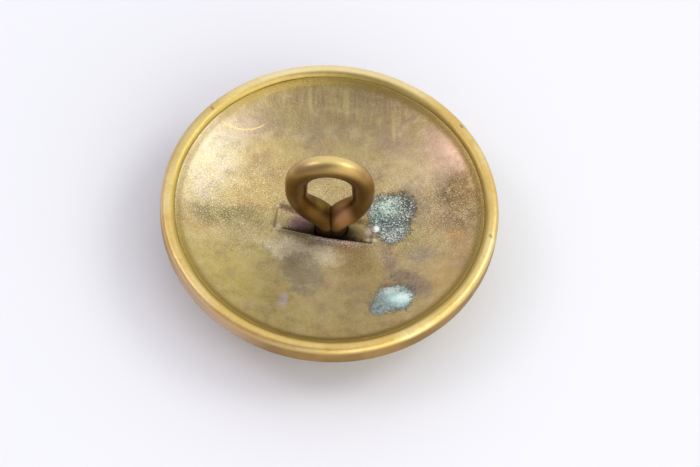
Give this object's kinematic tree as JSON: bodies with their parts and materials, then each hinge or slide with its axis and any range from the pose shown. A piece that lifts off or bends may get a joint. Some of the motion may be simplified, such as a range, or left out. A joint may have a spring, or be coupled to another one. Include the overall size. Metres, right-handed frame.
{
  "type": "sew-on shell button",
  "caption": "Domed metal sew-on button with a rolled rim, a dished back plate and a standing wire loop to sew through.",
  "frame": {"origin": "lowest point of the domed front, on the button's axis", "axes": "+Z along the button's axis from the domed front to the loop; the loop stands in the XZ plane, so the eye runs along Y"},
  "size_m": [0.0254, 0.0254, 0.0115],
  "materials": {
    "shell_brass": "satin, worn bright on the rim",
    "plate_brass": "tarnished, with spots of green corrosion",
    "wire_brass": "brown satin patina"
  },
  "bodies": {
    "root": {"front_shell": "shell_brass", "back_plate": "plate_brass", "shank_loop": "wire_brass"}
  },
  "joints": []
}
